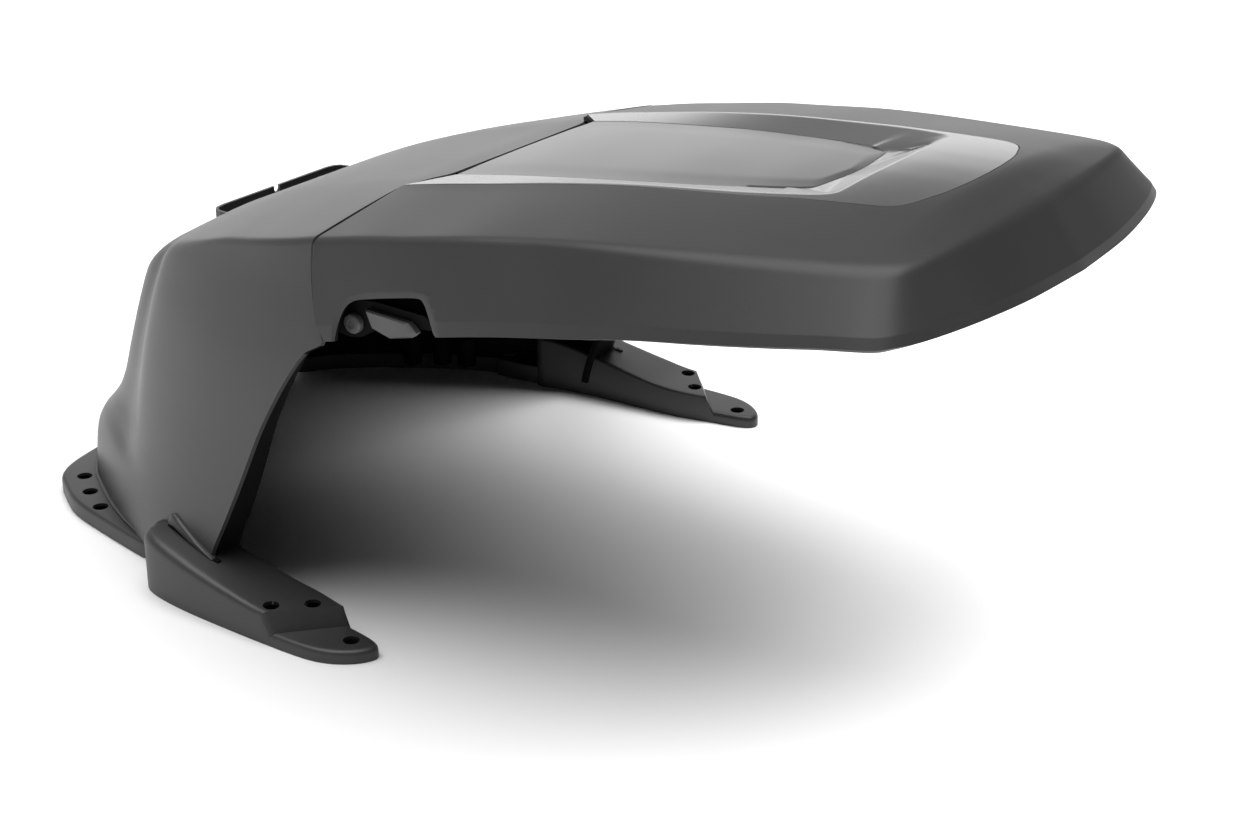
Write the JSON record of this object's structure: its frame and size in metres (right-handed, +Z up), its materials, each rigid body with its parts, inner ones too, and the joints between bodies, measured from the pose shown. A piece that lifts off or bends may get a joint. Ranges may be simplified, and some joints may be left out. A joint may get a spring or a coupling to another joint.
{
  "type": "robot mower garage",
  "caption": "Low plastic shelter for a robot mower: curved back and two splayed legs on long feet, with a hinged front roof that overhangs the open front.",
  "frame": {"origin": "ground level at the middle of the footprint, on the mirror plane", "axes": "+X to the right seen from the front, -Y towards the front overhang, +Z up"},
  "size_m": [0.565, 0.83, 0.3555],
  "materials": {
    "shell": "fine satin",
    "lid": "fine satin",
    "trim": "satin",
    "foot": "fine grain",
    "inner": "matt",
    "catch": "satin",
    "steel": "brushed"
  },
  "bodies": {
    "base": {"rear_shell": "shell", "leg_edge_left": "inner", "leg_edge_right": "inner", "hinge_pin": "steel", "hinge_shell_leaf": "inner", "latch_arm_left": "inner", "latch_arm_right": "inner", "latch_knob_left": "catch", "latch_knob_right": "catch", "latch_wedge_left": "catch", "latch_wedge_right": "catch", "front_foot_left": "foot", "front_foot_right": "foot", "leg_rib_left": "foot", "leg_rib_right": "foot", "rear_cowl": "shell", "rear_flange_left": "foot", "rear_flange_right": "foot"},
    "lid": {"lid_shell": "lid", "lid_trim_frame": "trim", "hinge_lid_leaf": "inner"}
  },
  "joints": [
    {"name": "lid_hinge", "type": "hinge", "parent": "base", "child": "lid", "pos_m": [0, 0.0425, 0.303], "axis": [-1, 0, 0], "range_deg": [0, 70]}
  ]
}
